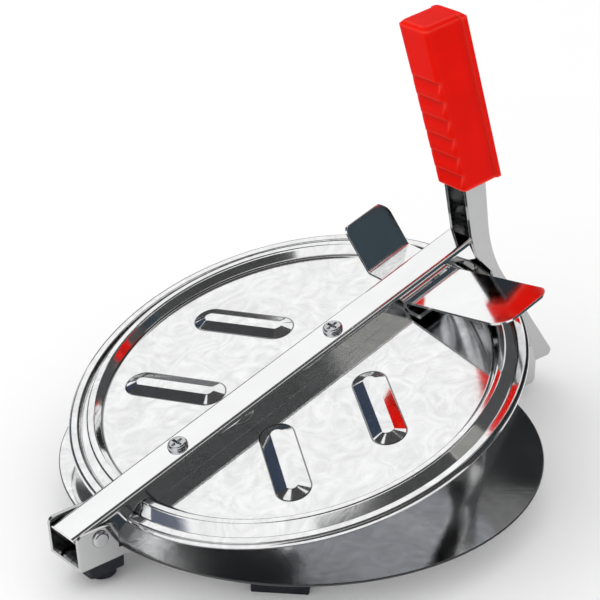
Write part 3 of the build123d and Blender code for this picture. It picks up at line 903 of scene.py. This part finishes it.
def photo_camera(settings):
    """Camera at the photograph's viewing angle."""
    camera = put_in_scene("camera", bpy.data.cameras.new("camera"))
    camera.location = settings.camera_place
    camera.rotation_euler = (math.pi / 2 - settings.camera_pitch, 0.0, -settings.camera_yaw)
    camera.data.lens = settings.camera_lens
    camera.data.clip_start = CAMERA_NEAR
    return camera


class PURI_PRESS_OT_plates(Operator):
    """Press the cover, and dress the plates in mirror-polished steel"""

    bl_idname = "puri_press.plates"
    bl_label = "Plates"

    def execute(self, context):
        settings = context.scene.puri_press_steel
        low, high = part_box("lower_plate")
        # The outer edges of the lower plate and, on top, of the pressing disc's hem get painted reflection.
        cut_edge = ((low + high) / 2, high[1] - settings.cut_edge)
        dress(("lower_plate",), plate_steel("lower_plate_steel", settings, cut_edge))
        low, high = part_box("pressing_disc")
        hem_edge = ((low + high) / 2, high[1] - settings.hem_edge)
        dress(("pressing_disc",), plate_steel("pressing_disc_steel", settings, hem_edge, top_only=True))
        mesh = cover_mesh("pressed_cover", context.scene.puri_press_cover)
        mesh.materials.append(plate_steel("plate_steel", settings))
        put_on_body("pressed_cover", mesh, "upper_plate", "arm")
        return {"FINISHED"}


class PURI_PRESS_OT_channels(Operator):
    """Dress the arm, tabs, base bar and lever in polished steel"""

    bl_idname = "puri_press.channels"
    bl_label = "Channels and Tabs"

    def execute(self, context):
        settings = context.scene.puri_press_steel
        dress(ARM, channel_steel("arm_steel", settings.tint, settings))
        # The base bar and the lever get darker copies of the arm's steel as painted shade.
        dress(("base_bar",), channel_steel("base_steel", shaded(settings.tint, BASE_PAINTED_SHADE), settings))
        dress(("lever_channel",), channel_steel("lever_steel", shaded(settings.tint, LEVER_PAINTED_SHADE), settings))
        return {"FINISHED"}


class PURI_PRESS_OT_plain_steel(Operator):
    """Dress the legs and fasteners in plain steel"""

    bl_idname = "puri_press.plain_steel"
    bl_label = "Legs and Fasteners"

    def execute(self, context):
        settings = context.scene.puri_press_steel
        dress(LEGS + BUSHES, plain_steel("plain_steel", settings.plain_roughness, settings))
        dress(SCREWS, plain_steel("screw_steel", settings.screw_roughness, settings))
        return {"FINISHED"}


class PURI_PRESS_OT_grip(Operator):
    """Dress the grip in red plastic"""

    bl_idname = "puri_press.grip"
    bl_label = "Grip"

    def execute(self, context):
        dress(("lever_grip",), grip_plastic(context.scene.puri_press_grip))
        return {"FINISHED"}


class PURI_PRESS_OT_feet(Operator):
    """Dress the feet in rubber"""

    bl_idname = "puri_press.feet"
    bl_label = "Rubber Feet"

    def execute(self, context):
        dress(FEET, foot_rubber(context.scene.puri_press_rubber))
        return {"FINISHED"}


class PURI_PRESS_OT_stage(Operator):
    """Set up the floor, panels, mats, lamps and camera"""

    bl_idname = "puri_press.stage"
    bl_label = "Stage"

    def execute(self, context):
        scene = context.scene
        settings = scene.puri_press_stage
        put_on_stage("floor", floor_mesh(), stage_material("floor_paint", settings.floor_colour))
        for name, (shade, stations) in PANELS.items():
            put_in_reflections(name, panel_edges(stations, settings.panel_distance), shade)
        for name, (shade, *place) in MATS.items():
            put_in_reflections(name, mat_edges(*place, settings.panel_distance), shade)
        soft_lamp("key_lamp", settings.key_place, settings.key_size, settings.key_power)
        soft_lamp("back_lamp", settings.back_place, settings.back_size, settings.back_power)
        scene.world = white_world(settings.sky_strength)
        scene.camera = photo_camera(settings)
        scene.view_settings.view_transform = "Standard"
        scene.cycles.glossy_bounces = GLOSSY_BOUNCES
        return {"FINISHED"}


class PURI_PRESS_PT_panel(Panel):
    """List the steps and their settings in the sidebar"""

    bl_label = "Puri Press"
    bl_idname = "PURI_PRESS_PT_panel"
    bl_space_type = "VIEW_3D"
    bl_region_type = "UI"
    bl_category = "Puri Press"

    def draw(self, context):
        for operator in OPERATORS:
            self.layout.operator(operator.bl_idname)
        for group, kind in SETTINGS.items():
            box = self.layout.box()
            box.label(text=kind.__doc__)
            for name in kind.__annotations__:
                box.prop(getattr(context.scene, group), name)


SETTINGS = {
    "puri_press_steel": PuriPressSteel,
    "puri_press_cover": PuriPressCover,
    "puri_press_grip": PuriPressGrip,
    "puri_press_rubber": PuriPressRubber,
    "puri_press_stage": PuriPressStage,
}
OPERATORS = (
    PURI_PRESS_OT_plates,
    PURI_PRESS_OT_channels,
    PURI_PRESS_OT_plain_steel,
    PURI_PRESS_OT_grip,
    PURI_PRESS_OT_feet,
    PURI_PRESS_OT_stage,
)


def register():
    """Register the classes, and give the scene its settings."""
    for kind in (*SETTINGS.values(), *OPERATORS, PURI_PRESS_PT_panel):
        bpy.utils.register_class(kind)
    for name, group in SETTINGS.items():
        setattr(bpy.types.Scene, name, PointerProperty(type=group))


def unregister():
    """Take the settings off the scene, and the classes out again."""
    for name in SETTINGS:
        delattr(bpy.types.Scene, name)
    for kind in (PURI_PRESS_PT_panel, *reversed(OPERATORS), *reversed(SETTINGS.values())):
        bpy.utils.unregister_class(kind)


def main():
    register()
    bpy.ops.puri_press.plates()
    bpy.ops.puri_press.channels()
    bpy.ops.puri_press.plain_steel()
    bpy.ops.puri_press.grip()
    bpy.ops.puri_press.feet()
    bpy.ops.puri_press.stage()


if __name__ == "__main__":
    main()
